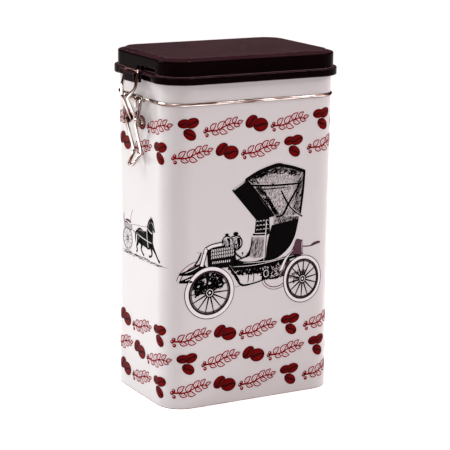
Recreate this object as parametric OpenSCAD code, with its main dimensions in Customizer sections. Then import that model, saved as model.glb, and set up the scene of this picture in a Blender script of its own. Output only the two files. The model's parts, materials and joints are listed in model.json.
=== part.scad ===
// Rectangular storage tin with a hinged plastic lid and a wire lever clasp.
// Millimetres. X runs along the long faces, Y from front to back, Z up, and the origin is the centre of
// the base. The clasp is on the -X end and the hinge on the +X end.
// Profiles are drawn with x = distance outward from the wall's outer face, and y = height.

/* [Tin body] */
// Width along the long faces
body_w = 106.4; // [90:0.2:130]
// Depth along the short faces
body_d = 72.8; // [60:0.2:90]
// Outer radius of the upright corners
corner_r = 14; // [12:0.5:17]
// Height from the base to the top of the lid
total_h = 195; // [150:1:240]
// Thickness of the tinplate
wall = 0.4; // [0.3:0.05:0.5]
// Radius of the rolled rim
rim_r = 0.8; // [0.6:0.05:0.9]
// Width of the hem that holds the bottom
hem_w = 2; // [1.5:0.1:3]
// Width of the side seam's lap
lap_w = 4; // [2:0.5:8]

/* [Bottom] */
// Height of the bottom panel above the base
bottom_h = 3; // [2:0.1:6]
// Rise of the stiffening step pressed into the bottom
step_h = 0.8; // [0.4:0.1:1.5]
// Distance of the step from the wall
step_in = 9; // [6:0.5:10]

/* [Lid] */
// Height of the lid, from the skirt's lower edge to the raised panel
lid_h = 14; // [13:0.5:20]
// Height of the flange
flange_h = 4.3; // [4:0.1:5]
// Thickness of the flange's upper web
web_t = 1.2; // [1:0.1:1.5]
// Reach of the flange beyond the tin's wall
flange_out = 3.1; // [3:0.05:4]
// Thickness of the skirt's inner lip, which goes all round
lip_t = 0.6; // [0.5:0.05:0.8]
// Reach of the lid's upper band beyond the tin's wall
band_out = 1.1; // [0.8:0.1:1.4]
// Thickness of the band and of the top
lid_t = 1.3; // [1:0.1:2]
// Fall of the lid's top from its panel to its outer edge
top_fall = 1.3; // [0.5:0.1:2]
// Width of the sloping border round the panel
border_w = 4.6; // [3.5:0.1:8]
// Radius of the lid's outer top edge
edge_r = 1; // [0.4:0.1:1.2]
// Height of the small step between the border and the panel
crease = 0.4; // [0.2:0.05:0.5]
// Depth of the rib that centres the lid inside the tin
rib_h = 3.4; // [2:0.1:5]
// Thickness of the rib
rib_t = 1.2; // [1:0.1:1.6]

/* [Lid details] */
// Half width of the nose that the bail holds down
nose_hw = 5.8; // [5:0.1:7]
// Height of the nose
nose_h = 5.4; // [4.5:0.1:6]
// Drop of the nose's top below the flange's
nose_drop = 0.6; // [0.3:0.1:1]
// Reach of the nose beyond the tin's wall
nose_out = 7; // [6:0.1:7.5]
// Half width of the gap in the skirt round the nose, at the web
gap_hw = 19.5; // [14:0.5:20]
// Extra half width of the gap at the skirt's lower edge
gap_flare = 8; // [3:0.5:8]
// Length of the pocket in the band
pocket_l = 19; // [15:1:22]
// Height of the pocket
pocket_h = 3; // [2:0.1:4]
// Depth of the pocket
pocket_depth = 2.6; // [1:0.1:3]
// Distance of the pocket from the lid's middle
pocket_off = 2.5; // [1:0.5:4]

/* [Seal] */
// Thickness of the seal
seal_t = 1; // [0.8:0.1:1.5]
// Gap between the seal and the rim
seal_gap = 0.2; // [0.1:0.05:0.4]

/* [Wires] */
// Radius of every wire
wire_r = 0.9; // [0.75:0.05:1]
// Running clearance round each pivot
pivot_gap = 0.1; // [0.06:0.01:0.12]
// Radius of a sharp bend, to the wire's centre
bend_r = 1.35; // [1.2:0.05:1.6]
// Height of the ring below the lid's top
ring_drop = 24.8; // [24:0.1:30]

/* [Clasp] */
// Reach of the lever's pivot beyond the tin's wall
pivot_out = 4; // [3.8:0.1:5]
// Half width of the lever at its arms
arm_hw = 8.8; // [8.6:0.1:10]
// Height from the elbow coils to the lever's pivot
arm_h = 12.2; // [11:0.2:15]
// Reach of the elbow coils' centre beyond the tin's wall
elbow_out = 3.5; // [3.4:0.1:4.5]
// Half width of the lever just below its coils
grip_hw = 5.6; // [5.4:0.1:6]
// Half width of the lever at its bend towards the wall
bend_hw = 4.2; // [3.8:0.1:4.6]
// Length of the straight grip below the coils
grip_h = 17.8; // [14:0.2:24]
// Length of the finger loop
loop_h = 6.8; // [6:0.2:10]
// Reach of the finger loop's tip beyond the tin's wall
loop_out = 5.8; // [4:0.1:8]
// Half width of the finger loop's tip
loop_hw = 2.5; // [2.4:0.1:4]
// Half width of the bail at its top bar
bail_hw = 8; // [7.8:0.1:9]
// Reach of the bail's top bar beyond the tin's wall
bar_out = 4.7; // [4.4:0.1:5.2]
// Half width of the bail at its waist
waist_hw = 3; // [2.8:0.1:3.3]
// Reach of the bail's waist beyond the tin's wall
waist_out = 9.4; // [9:0.1:10]
// Half width of the bail's legs where they turn out into the coils
foot_hw = 3.5; // [3.3:0.1:3.6]
// Length of the bail's pins beyond the lever's arms
pin_over = 0.6; // [0.2:0.1:1.5]
// Gap between the bail's bar and the nose
latch_gap = 0.25; // [0.2:0.05:0.4]

/* [Hinge] */
// Reach of the hinge pin beyond the tin's wall
hinge_out = 6.2; // [6:0.1:7]
// Half width of the lid's hinge knuckle
knuckle_hw = 10; // [8:0.5:12]
// Outer radius of the knuckle
knuckle_r = 2.4; // [2.2:0.05:2.6]
// Running clearance between the pin and the knuckle
pin_gap = 0.07; // [0.05:0.01:0.1]

/* [Hidden] */
$fn = 48;

// Small gap between pieces that only rest against each other
seat_gap = 0.05;
// How much thinner a bent stretch of wire is than its pivot stretches
neck = 0.02;
wire_sides = 14;
bend_step = 15;

// Heights of the lid's levels
skirt_z = total_h - lid_h;
web_z = skirt_z + flange_h;
web_under_z = web_z - web_t;
edge_z = total_h - top_fall;
seal_z = web_under_z - seal_t;
rim_z = seal_z - seal_gap;
ring_z = total_h - ring_drop;

// Faces of the tin
end_x = body_w / 2;
side_y = body_d / 2;
flat_x = end_x - corner_r;
flat_y = side_y - corner_r;

// The skirt's inner face clears the rolled rim, and the rib clears the wall
rim_clear = 0.45;
lip_in = rim_r * 2 - wall / 2 - 0.1 + rim_clear - seat_gap;
rib_out = -wall - 0.9;

// Centres of the pivots, in the plane Y = 0
pivot = [-end_x - pivot_out, ring_z - 0.2];
elbow = [-end_x - elbow_out, pivot[1] - arm_h];
bar = [-end_x - bar_out, web_z - nose_drop + latch_gap + wire_r];
hinge = [end_x + hinge_out, skirt_z + 0.2];
hump = [end_x + 3.8, ring_z];

// Loops and coils of wire run round a pivot at this radius
loop_r = 2 * wire_r + pivot_gap;
// The ring's hooks stand just inside the lever's arms, and the hinge wire's legs beside the knuckle
hook_y = arm_hw - bend_r - wire_r;
leg_y = knuckle_hw + 2;
// Half width that an eye of the hinge wire needs, and the hump's room beside it on the end's flat
eye_hw = wire_r + 0.15;
hump_room = flat_y - 0.6 - leg_y - eye_hw;
hump_bend = max(wire_r + 0.05, min(2, hump_room / 4));
// The ring's straight ends lie along the end faces for this length, before they leave the groove
front_lie = min(6.5, flat_y - hook_y - 5.2);
back_lie = 1;

// Unit vector along v
function unit(v) = v / norm(v);

// Arc of radius r that rounds the corner b between the lines from a and to c
function corner_arc(a, b, c, r) =
    let (
        u = unit(b - a), v = unit(c - b),
        turn = acos(max(-1, min(1, u * v))),
        start = b - u * r * tan(turn / 2),
        inward = unit(v - u * (u * v)),
        steps = max(2, ceil(turn / bend_step))
    )
    [for (i = [0:steps]) let (t = turn * i / steps) start + r * (u * sin(t) + inward * (1 - cos(t)))];

// Path through corners given as [x, y, z, bend radius], with each inner corner rounded
function bent(p) = [
    for (i = [0:len(p) - 1])
        let (here = [p[i][0], p[i][1], p[i][2]])
        if (i == 0 || i == len(p) - 1) here
        else
            let (
                before = [p[i - 1][0], p[i - 1][1], p[i - 1][2]],
                after = [p[i + 1][0], p[i + 1][1], p[i + 1][2]]
            )
            each corner_arc(before, here, after, p[i][3]),
];

// Loop or coil round the pivot c, from angle a at depth y0 to angle b at depth y1. Angles run from +X to +Z.
function loop(c, y0, y1, a, b) =
    let (steps = ceil(abs(b - a) / bend_step))
    [
        for (i = [0:steps])
            let (t = a + (b - a) * i / steps)
            [c[0] + loop_r * cos(t), y0 + (y1 - y0) * i / steps, c[1] + loop_r * sin(t)],
    ];

// The list without its first entry, which the list before it already ends with
function rest(p) = [for (i = [1:len(p) - 1]) p[i]];

// The same path on the other side of the plane Y = 0, run backwards
function mirrored(p) = [for (i = [len(p) - 1:-1:0]) [p[i][0], -p[i][1], p[i][2]]];

// Whole path made of one half and its mirror image; the half starts on the plane Y = 0
function both_halves(p) = [each mirrored(p), each rest(p)];

// Direction of the path at point i
function heading(p, i) = unit(p[min(i + 1, len(p) - 1)] - p[max(i - 1, 0)]);

// Round wire along a path. Each ring's frame is the last one turned only as far as the path turns.
module wire(p, r = wire_r - neck) {
    last = len(p) - 1;
    first_side = cross(heading(p, 0), abs(heading(p, 0)[2]) < 0.8 ? [0, 0, 1] : [0, 1, 0]);
    sides = [
        for (i = 0, s = unit(first_side); i <= last;
            i = i + 1,
            s = i > last ? s : unit(s - heading(p, i) * (s * heading(p, i))))
            s
    ];
    points = [
        for (i = [0:last], k = [0:wire_sides - 1])
            let (t = 360 * k / wire_sides, across = cross(heading(p, i), sides[i]))
            p[i] + r * (sides[i] * cos(t) + across * sin(t))
    ];
    skin = [
        for (i = [0:last - 1], k = [0:wire_sides - 1])
            let (a = i * wire_sides + k, b = i * wire_sides + (k + 1) % wire_sides)
            each [[a, b + wire_sides, b], [a, a + wire_sides, b + wire_sides]],
    ];
    near_end = [for (k = [0:wire_sides - 1]) k];
    far_end = [for (k = [wire_sides - 1:-1:0]) last * wire_sides + k];
    polyhedron(points, [each skin, near_end, far_end]);
}

// True round stretch of wire along Y, centred on the pivot c, from y = a to y = b
module pin(c, a, b, r = wire_r) {
    translate([c[0], b, c[1]]) rotate([90, 0, 0]) cylinder(r = r, h = b - a);
}

// Whatever is drawn, and its mirror image in the plane Y = 0
module both_sides() {
    children();
    mirror([0, 1, 0]) children();
}

// Carries a profile along one face of the tin, which lies at distance reach from the axis
module along_face(reach, half) {
    translate([reach, half, 0]) rotate([90, 0, 0]) linear_extrude(2 * half) children();
}

// Carries a profile round one corner
module round_corner() {
    rotate_extrude(angle = 90) translate([corner_r, 0]) children();
}

// Carries a profile all round the tin
module round_tin() {
    for (i = [0, 1]) rotate([0, 0, 180 * i]) {
        along_face(end_x, flat_y) children();
        rotate([0, 0, 90]) along_face(side_y, flat_x) children();
        translate([flat_x, flat_y, 0]) round_corner() children();
        translate([-flat_x, flat_y, 0]) rotate([0, 0, 90]) round_corner() children();
    }
}

// Flat plate over the middle of the tin, inside the four corner centres
module middle_plate(z, t) {
    translate([-flat_x, -flat_y, z]) cube([2 * flat_x, 2 * flat_y, t]);
}

// Side wall with its hemmed lower edge, the groove for the ring and the rolled rim
module wall_profile() {
    groove_r = wire_r + seat_gap;
    difference() {
        union() {
            translate([-wall, 0]) square([wall, rim_z - rim_r]);
            translate([-wall - hem_w, 0]) square([hem_w + wall / 2, wall]);
            translate([rim_r - wall / 2, rim_z - rim_r]) circle(rim_r);
            translate([0, ring_z]) circle(groove_r + wall);
        }
        translate([0, ring_z]) circle(groove_r);
        translate([0, ring_z - 2 * groove_r]) square([2 * groove_r, 4 * groove_r]);
    }
}

module body_shell() {
    seam_low = bottom_h + step_h + 1;
    seam_high = ring_z - 4;
    color([0.86, 0.85, 0.86]) {
        round_tin() wall_profile();
        // The sheet's lap, inside the back face
        translate([flat_x - lap_w, side_y - 2 * wall, seam_low])
            cube([lap_w, 1.5 * wall, seam_high - seam_low]);
    }
}

// Pan that stands on the hem, with a step pressed up round its middle
module bottom_profile() {
    outer = -wall - seat_gap;
    top = bottom_h + step_h;
    polygon([
        [outer, wall], [outer, bottom_h + wall], [-step_in, bottom_h + wall],
        [-step_in - step_h, top + wall], [-corner_r, top + wall], [-corner_r, top],
        [-step_in - step_h + wall / 2, top], [-step_in + wall / 2, bottom_h],
        [outer - wall, bottom_h], [outer - wall, wall],
    ]);
}

module bottom_plate() {
    color([0.78, 0.78, 0.8]) {
        round_tin() bottom_profile();
        middle_plate(bottom_h + step_h, wall);
    }
}

// Half of the ring's hook: out from the wall, over the lever's pivot and down to a short tail
function hook_path() = [
    each bent([
        [-end_x, flat_y - front_lie + 0.5, ring_z],
        [-end_x, hook_y + 5, ring_z, 2],
        [-end_x - 0.6, hook_y + 2.4, ring_z - 0.2, 1.5],
        [pivot[0] + loop_r, hook_y, pivot[1] - 1.2, 0.8],
        [pivot[0] + loop_r, hook_y, pivot[1]],
    ]),
    each rest(loop(pivot, hook_y, hook_y, 0, 180)),
    [pivot[0] - loop_r + 0.2, hook_y, pivot[1] - 3.6],
];

// Half of the ring's hump at the back, which carries the hinge wire
function hump_path() = bent([
    [hump[0], 0, hump[1]],
    [hump[0], leg_y + eye_hw + 0.28 * hump_room, hump[1], hump_bend],
    [end_x, leg_y + eye_hw + 0.737 * hump_room, hump[1], hump_bend],
    [end_x, flat_y - 0.6, hump[1]],
]);

module ring_wire() {
    color([0.8, 0.8, 0.82]) {
        for (i = [0, 1]) rotate([0, 0, 180 * i]) translate([0, 0, ring_z]) {
            rotate([0, 0, 90]) along_face(side_y, flat_x) circle(wire_r);
            translate([flat_x, flat_y, 0]) round_corner() circle(wire_r);
            translate([-flat_x, flat_y, 0]) rotate([0, 0, 90]) round_corner() circle(wire_r);
        }
        both_sides() {
            pin([-end_x, ring_z], flat_y - front_lie, flat_y);
            wire(hook_path());
            pin([end_x, ring_z], flat_y - back_lie, flat_y);
        }
        wire(both_halves(hump_path()));
        pin(hump, -leg_y - eye_hw, leg_y + eye_hw);
    }
}

// Half of the hinge wire: the pin, a leg and an eye round the ring's hump
function hinge_path() = [
    each bent([
        [hinge[0], 0, hinge[1]],
        [hinge[0], leg_y, hinge[1], bend_r],
        [hump[0] + loop_r, leg_y, hump[1] + 3, 2],
        [hump[0] + loop_r, leg_y, hump[1]],
    ]),
    each rest(loop(hump, leg_y, leg_y, 0, -255)),
];

module hinge_wire() {
    color([0.8, 0.8, 0.82]) {
        wire(both_halves(hinge_path()));
        pin(hinge, -knuckle_hw - 0.5, knuckle_hw + 0.5);
    }
}

// Half of the lever: pivot bar, arm, one full turn of coil, grip and finger loop
function lever_path() = [
    each bent([
        [pivot[0], 0, pivot[1]],
        [pivot[0], arm_hw, pivot[1], bend_r],
        [elbow[0] - loop_r, arm_hw, elbow[1] + 2, 4],
        [elbow[0] - loop_r, arm_hw, elbow[1]],
    ]),
    each rest(loop(elbow, arm_hw, grip_hw, 180, 540)),
    each rest(bent([
        [elbow[0] - loop_r, grip_hw, elbow[1]],
        [elbow[0] - loop_r, grip_hw, elbow[1] - 1.5, 3],
        [-end_x - wire_r - 0.4, bend_hw, elbow[1] - grip_h, 3],
        [-end_x - loop_out, loop_hw, elbow[1] - grip_h - loop_h, 2],
        [-end_x - loop_out, 0, elbow[1] - grip_h - loop_h],
    ])),
];

module lever_wire() {
    straight = arm_hw - bend_r;
    color([0.82, 0.82, 0.84]) {
        both_sides() wire(lever_path());
        pin(pivot, -straight, straight);
    }
}

// Half of the bail: top bar, leg, waist, and the foot that turns out through the lever's coil
function bail_path() = bent([
    [bar[0], 0, bar[1]],
    [bar[0], bail_hw, bar[1], bend_r],
    [-end_x - 7, bail_hw + 0.2, web_z - 8.8, 4],
    [-end_x - waist_out, waist_hw, pivot[1] + 0.8, 3],
    [elbow[0], foot_hw, elbow[1], bend_r],
    [elbow[0], arm_hw + wire_r, elbow[1]],
]);

module bail_wire() {
    color([0.82, 0.82, 0.84]) {
        wire(both_halves(bail_path()));
        both_sides() pin(elbow, foot_hw + bend_r, arm_hw + wire_r + pin_over);
    }
}

// Section of the lid from its middle to its skirt
module lid_profile() {
    crown_x = band_out - border_w;
    lip_x = crown_x + crease / 2;
    arc = [
        for (t = [0:15:90])
            [band_out - edge_r + edge_r * cos(t), edge_z - edge_r + edge_r * sin(t)]
    ];
    polygon([
        [-corner_r, total_h], [crown_x, total_h], [lip_x, total_h - crease],
        each [for (i = [len(arc) - 1:-1:0]) arc[i]],
        [band_out, web_z], [flange_out - 0.4, web_z], [flange_out, web_z - 0.4],
        [flange_out, skirt_z + 0.3], [flange_out - 0.3, skirt_z], [lip_in, skirt_z],
        [lip_in, web_under_z], [rib_out, web_under_z], [rib_out, web_under_z - rib_h],
        [rib_out - rib_t, web_under_z - rib_h], [rib_out - rib_t, web_z], [band_out - lid_t, web_z],
        [band_out - lid_t, edge_z - lid_t - 0.3], [crown_x, total_h - lid_t - crease],
        [-corner_r, total_h - lid_t - crease],
    ]);
}

// Outline of the gap in the skirt round the nose: straight under the web, flared at the foot
module gap_outline() {
    low = skirt_z - 1;
    fall = web_under_z - low;
    flare = [for (t = [0:15:90]) [gap_hw + gap_flare * (1 - cos(t)), web_under_z - fall * sin(t)]];
    polygon([each flare, for (i = [len(flare) - 1:-1:0]) [-flare[i][0], flare[i][1]]]);
}

module nose() {
    bevel = 0.5;
    root = lip_in + lip_t / 2;
    top = web_z - nose_drop;
    low = top - nose_h;
    translate([-end_x, nose_hw, 0]) rotate([90, 0, 0]) linear_extrude(2 * nose_hw) polygon([
        [-root, top], [-nose_out + bevel, top], [-nose_out, top - bevel],
        [-nose_out, low + bevel], [-nose_out + bevel, low], [-root, low],
    ]);
}

// Pocket moulded into the band above the web, with one chamfered end
module pocket(grow, depth) {
    far = -pocket_off + grow;
    near = -pocket_off - pocket_l - grow;
    slant = pocket_h * 0.6;
    high = web_z + pocket_h + grow;
    translate([-end_x - band_out - 1, 0, 0]) rotate([90, 0, 90]) linear_extrude(depth + 1) polygon([
        [far, web_z - grow], [far, high], [near + slant, high], [near, high - slant], [near, web_z - grow],
    ]);
}

module knuckle() {
    web_hr = knuckle_r - 0.3;
    root = end_x + lip_in + lip_t / 2;
    pin(hinge, -knuckle_hw, knuckle_hw, knuckle_r);
    translate([root, -knuckle_hw, hinge[1] - web_hr]) cube([hinge[0] - root, 2 * knuckle_hw, 2 * web_hr]);
}

module lid_shell() {
    thin = 0.8;
    recess = end_x + lip_in + lip_t;
    color([0.2, 0.1, 0.11]) difference() {
        union() {
            difference() {
                round_tin() lid_profile();
                translate([-recess, 0, 0]) rotate([90, 0, -90]) linear_extrude(10) gap_outline();
            }
            middle_plate(total_h - lid_t - crease, lid_t + crease);
            nose();
            knuckle();
            intersection() {
                pocket(thin, pocket_depth + thin);
                translate([-end_x - band_out + 0.2, -side_y, web_z]) cube([10, body_d, 10]);
            }
        }
        pocket(0, pocket_depth);
        pin(hinge, -knuckle_hw - 1, knuckle_hw + 1, wire_r + pin_gap);
    }
}

// Flat gasket under the web, between the rib and the skirt's lip
module lid_seal() {
    color([0.9, 0.9, 0.88]) round_tin()
        translate([rib_out + seat_gap, seal_z]) square([lip_in - rib_out - 2 * seat_gap, seal_t]);
}

body_shell();
bottom_plate();
ring_wire();
hinge_wire();
lever_wire();
bail_wire();
lid_shell();
lid_seal();
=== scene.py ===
# %% [markdown]
# # A coffee tin with a hinged lid and a wire clasp
# The tin is a tall box of tinplate with round corners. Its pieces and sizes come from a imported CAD
# model, and this lesson dresses that model: enamel, plastic and plated wire get their finishes, the
# wires are rebuilt as smooth tubes, and the printed decoration is laid round the walls as thin ink.

import json
import math

import bpy
import numpy as np
from mathutils import Matrix, Vector


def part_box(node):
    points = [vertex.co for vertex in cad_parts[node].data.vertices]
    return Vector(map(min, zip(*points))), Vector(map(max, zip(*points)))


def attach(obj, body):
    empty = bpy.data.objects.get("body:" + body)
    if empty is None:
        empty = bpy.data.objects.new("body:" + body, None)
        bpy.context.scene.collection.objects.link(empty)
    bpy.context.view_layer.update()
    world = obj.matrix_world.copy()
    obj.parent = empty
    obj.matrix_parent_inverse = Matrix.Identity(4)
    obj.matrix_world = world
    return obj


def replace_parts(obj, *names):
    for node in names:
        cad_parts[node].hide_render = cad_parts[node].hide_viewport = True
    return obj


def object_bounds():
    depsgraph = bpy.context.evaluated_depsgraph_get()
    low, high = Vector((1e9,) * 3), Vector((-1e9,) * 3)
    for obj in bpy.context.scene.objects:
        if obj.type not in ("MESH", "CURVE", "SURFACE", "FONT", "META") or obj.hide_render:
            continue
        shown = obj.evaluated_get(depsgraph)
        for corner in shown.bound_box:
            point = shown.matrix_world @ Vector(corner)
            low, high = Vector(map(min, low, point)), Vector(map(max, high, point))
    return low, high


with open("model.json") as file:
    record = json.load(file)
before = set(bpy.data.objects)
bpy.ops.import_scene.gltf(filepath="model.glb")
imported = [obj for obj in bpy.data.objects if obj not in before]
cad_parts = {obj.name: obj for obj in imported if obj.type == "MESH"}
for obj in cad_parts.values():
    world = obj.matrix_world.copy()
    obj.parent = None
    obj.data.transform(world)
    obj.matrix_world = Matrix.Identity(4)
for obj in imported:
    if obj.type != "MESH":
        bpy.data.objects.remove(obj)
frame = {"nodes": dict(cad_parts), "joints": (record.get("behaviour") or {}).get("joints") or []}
cad_low, cad_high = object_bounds()
joints = {j["name"]: j for j in frame["joints"]}
nodes = frame["nodes"]
MM = 0.001

# %% [markdown]
# ## Sizes
# The wall's place is read from the model: the bottom plate stops a known gap inside the wall. The
# corner radius and the wires' sizes repeat the design's own values, in millimetres.

# %% Sizes of the tin and of its wires
WALL, PLATE_GAP, CORNER_R = 0.4, 0.05, 14.0
LID_H, RING_DROP, RIM_H = 14.0, 24.8, 1.6
WIRE_R, BEND_R = 0.9, 1.35
LOOP_R = 2 * WIRE_R + 0.1
plate_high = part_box("bottom_plate")[1]
END_X = plate_high.x / MM + WALL + PLATE_GAP
SIDE_Y = plate_high.y / MM + WALL + PLATE_GAP
FLAT_X, FLAT_Y = END_X - CORNER_R, SIDE_Y - CORNER_R
TOTAL_H = cad_high.z / MM
RING_Z = TOTAL_H - RING_DROP
RIM_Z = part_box("body_shell")[1].z / MM


def pivot_of(joint):
    """The (x, z) of a joint's axis, in millimetres."""
    x, _, z = joints[joint]["pos_m"]
    return x / MM, z / MM


LEVER_PIVOT = pivot_of("lever_swing")
ELBOW = pivot_of("bail_swing")
HINGE = pivot_of("lid_hinge")
print(f"wall at x {END_X:.2f}, y {SIDE_Y:.2f}; height {TOTAL_H:.1f} mm")

# %% [markdown]
# ## Finishes
# Each finish is a node material built from the same few steps: a coordinate, a noise, a ramp and a
# bump. They read Object coordinates, in metres, so that a pattern stays on its piece when it moves.
# Values that are the same all over a surface are set on the shader's own sockets.


# %% Helpers that build a material
class Finish:
    """A material with its Principled shader, and short ways to add and join nodes."""

    def __init__(self, name, color, **sockets):
        self.material = bpy.data.materials.new(name)
        self.material.use_nodes = True
        self.tree = self.material.node_tree
        self.shader = self.tree.nodes["Principled BSDF"]
        self.shade(Base_Color=(*color, 1), **sockets)

    def shade(self, **sockets):
        """Sets the shader's sockets; _ stands for a space in their names."""
        for socket, value in sockets.items():
            self.set(self.shader, socket.replace("_", " "), value)

    def set(self, node, socket, value):
        """Sets a socket to a number or colour, or joins it to another node's output."""
        if isinstance(value, bpy.types.NodeSocket):
            self.tree.links.new(value, node.inputs[socket])
        else:
            node.inputs[socket].default_value = value

    def node(self, kind, sockets=(), output=0, **settings):
        """Adds a node, sets its settings and sockets, and gives one of its outputs."""
        made = self.tree.nodes.new("ShaderNode" + kind)
        for setting, value in settings.items():
            setattr(made, setting, value)
        for socket, value in dict(sockets).items():
            self.set(made, socket, value)
        return made.outputs[output]

    def place(self, stretch=(1, 1, 1)):
        """Object coordinates, stretched along the axes."""
        where = self.node("TexCoord", output="Object")
        return self.node("Mapping", {"Vector": where, "Scale": stretch})

    def noise(self, where, scale, detail=3, roughness=0.5):
        """Noise with about scale waves a metre, in as many finer steps as detail says."""
        sockets = {"Vector": where, "Scale": scale, "Detail": detail, "Roughness": roughness}
        return self.node("TexNoise", sockets)

    def cells(self, where, scale, output):
        """Voronoi cells, about scale of them a metre."""
        return self.node("TexVoronoi", {"Vector": where, "Scale": scale}, output=output)

    def ramp(self, value, low, high, start=0.0, end=1.0):
        """The value carried smoothly from the span low to high onto the span start to end."""
        sockets = {0: value, 1: low, 2: high, 3: start, 4: end}
        return self.node("MapRange", sockets, interpolation_type="SMOOTHSTEP")

    def math(self, operation, a, b=0.0):
        return self.node("Math", {0: a, 1: b}, operation=operation)

    def times(self, a, b):
        return self.math("MULTIPLY", a, b)

    def vector_math(self, operation, a, b=(0, 0, 0), output=0):
        return self.node("VectorMath", {0: a, 1: b}, output=output, operation=operation)

    def mix(self, share, a, b):
        """Colour a where share is 0, and colour b where it is 1."""
        made = self.tree.nodes.new("ShaderNodeMix")
        made.data_type = "RGBA"
        for socket, value in ((0, share), (6, a), (7, b)):
            if isinstance(value, tuple):
                value = (*value, 1)
            self.set(made, socket, value)
        return made.outputs[2]

    def bump(self, height, strength, distance, normal=None):
        """Sets the shader's normal from a height; distance is in metres."""
        sockets = {"Height": height, "Strength": strength, "Distance": distance}
        if normal is not None:
            sockets["Normal"] = normal
        self.shade(Normal=self.node("Bump", sockets))

    def split(self, vector):
        """The three parts of a vector."""
        made = self.tree.nodes.new("ShaderNodeSeparateXYZ")
        self.set(made, 0, vector)
        return made.outputs


# %% [markdown]
# ### Lacquered tinplate
# The outside of the wall is white lacquer under clear varnish, with a faint orange peel. The inside
# and the rolled rim are bare tinplate. One node sum tells the two apart: the distance from the
# rounded outline of the tin, which is zero on the outer face and negative inside it. A thin brown
# line with a ragged top runs along the lower edge.


# %% Lacquer outside, tinplate inside
EDGE_LINE_H, EDGE_LINE_FADE = 1.1, 0.4
SKIN = (0.15, 0.25)


def outline_distance(finish):
    """Distance outward from the wall's face, in metres: length(max(|p| - flat, 0)) - corner."""
    level = finish.vector_math("MULTIPLY", finish.node("TexCoord", output="Object"), (1, 1, 0))
    level = finish.vector_math("ABSOLUTE", level)
    level = finish.vector_math("SUBTRACT", level, (FLAT_X * MM, FLAT_Y * MM, 0))
    level = finish.vector_math("MAXIMUM", level)
    reach = finish.vector_math("LENGTH", level, output="Value")
    return finish.math("SUBTRACT", reach, CORNER_R * MM)


def lacquer_finish():
    made = Finish("tin_lacquer", (0.42, 0.39, 0.396), Roughness=0.3, Coat_Weight=0.6,
                  Coat_Roughness=0.07)
    place = made.place()
    height = made.split(place)[2]
    paint = made.mix(made.noise(place, 9, 1), (0.410, 0.380, 0.384), (0.402, 0.372, 0.376))
    # A thin brown line along the lower edge, its top made ragged by a noise
    ragged = made.noise(made.place((1, 1, 0.2)), 420, 3, 0.7)
    edge = made.math("ADD", height, made.times(ragged, -EDGE_LINE_H * MM))
    paint = made.mix(made.ramp(edge, 0.0, -EDGE_LINE_FADE * MM), paint, (0.16, 0.07, 0.045))
    bare_wall = made.ramp(outline_distance(made), -SKIN[0] * MM, -SKIN[1] * MM)
    bare_rim = made.ramp(height, (RIM_Z - RIM_H - 0.1) * MM, (RIM_Z - RIM_H + 0.1) * MM)
    bare = made.math("MAXIMUM", bare_wall, bare_rim)
    grey = made.mix(0.12, (0.62, 0.60, 0.56), made.cells(place, 240, "Color"))
    gloss = made.ramp(made.noise(place, 300, 3), 0.2, 0.8, 0.29, 0.32)
    made.shade(Base_Color=made.mix(bare, paint, grey), Metallic=bare, Roughness=gloss)
    made.bump(made.noise(place, 700, 2), 0.012, 0.0001)
    return made.material


tin_lacquer = lacquer_finish()
print("finish:", tin_lacquer.name)

# %% [markdown]
# ### Tinplate
# The bottom is the same sheet without paint. Rolling leaves fine lines along one direction, which a
# noise stretched along X gives, and the tin coat has faint crystals.


# %% Tinplate
def tinplate_finish():
    made = Finish("tinplate", (0.6, 0.59, 0.57), Metallic=1.0, Roughness=0.3)
    lines = made.noise(made.place((0.03, 1, 1)), 2600, 3)
    tone = made.mix(made.ramp(lines, 0.3, 0.7), (0.56, 0.55, 0.53), (0.68, 0.67, 0.64))
    made.shade(Base_Color=made.mix(0.1, tone, made.cells(made.place(), 260, "Color")),
               Roughness=made.ramp(lines, 0.3, 0.7, 0.22, 0.42))
    made.bump(lines, 0.15, 0.00004)
    return made.material


tinplate = tinplate_finish()
print("finish:", tinplate.name)

# %% [markdown]
# ### Dark brown plastic
# The lid is a glossy moulding. Handling leaves hair scratches on its top, and a little pale dust has
# settled there. The dust is a Voronoi pattern cut to small dots, kept to faces that look upward. A
# pale film on those faces is partly dust and partly a painted sheen that lightens the top. A moulded
# edge is never quite sharp: the bevel rounds its shading, and where that turns away from the true
# face a pale pink highlight line is painted along the edge.


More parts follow.
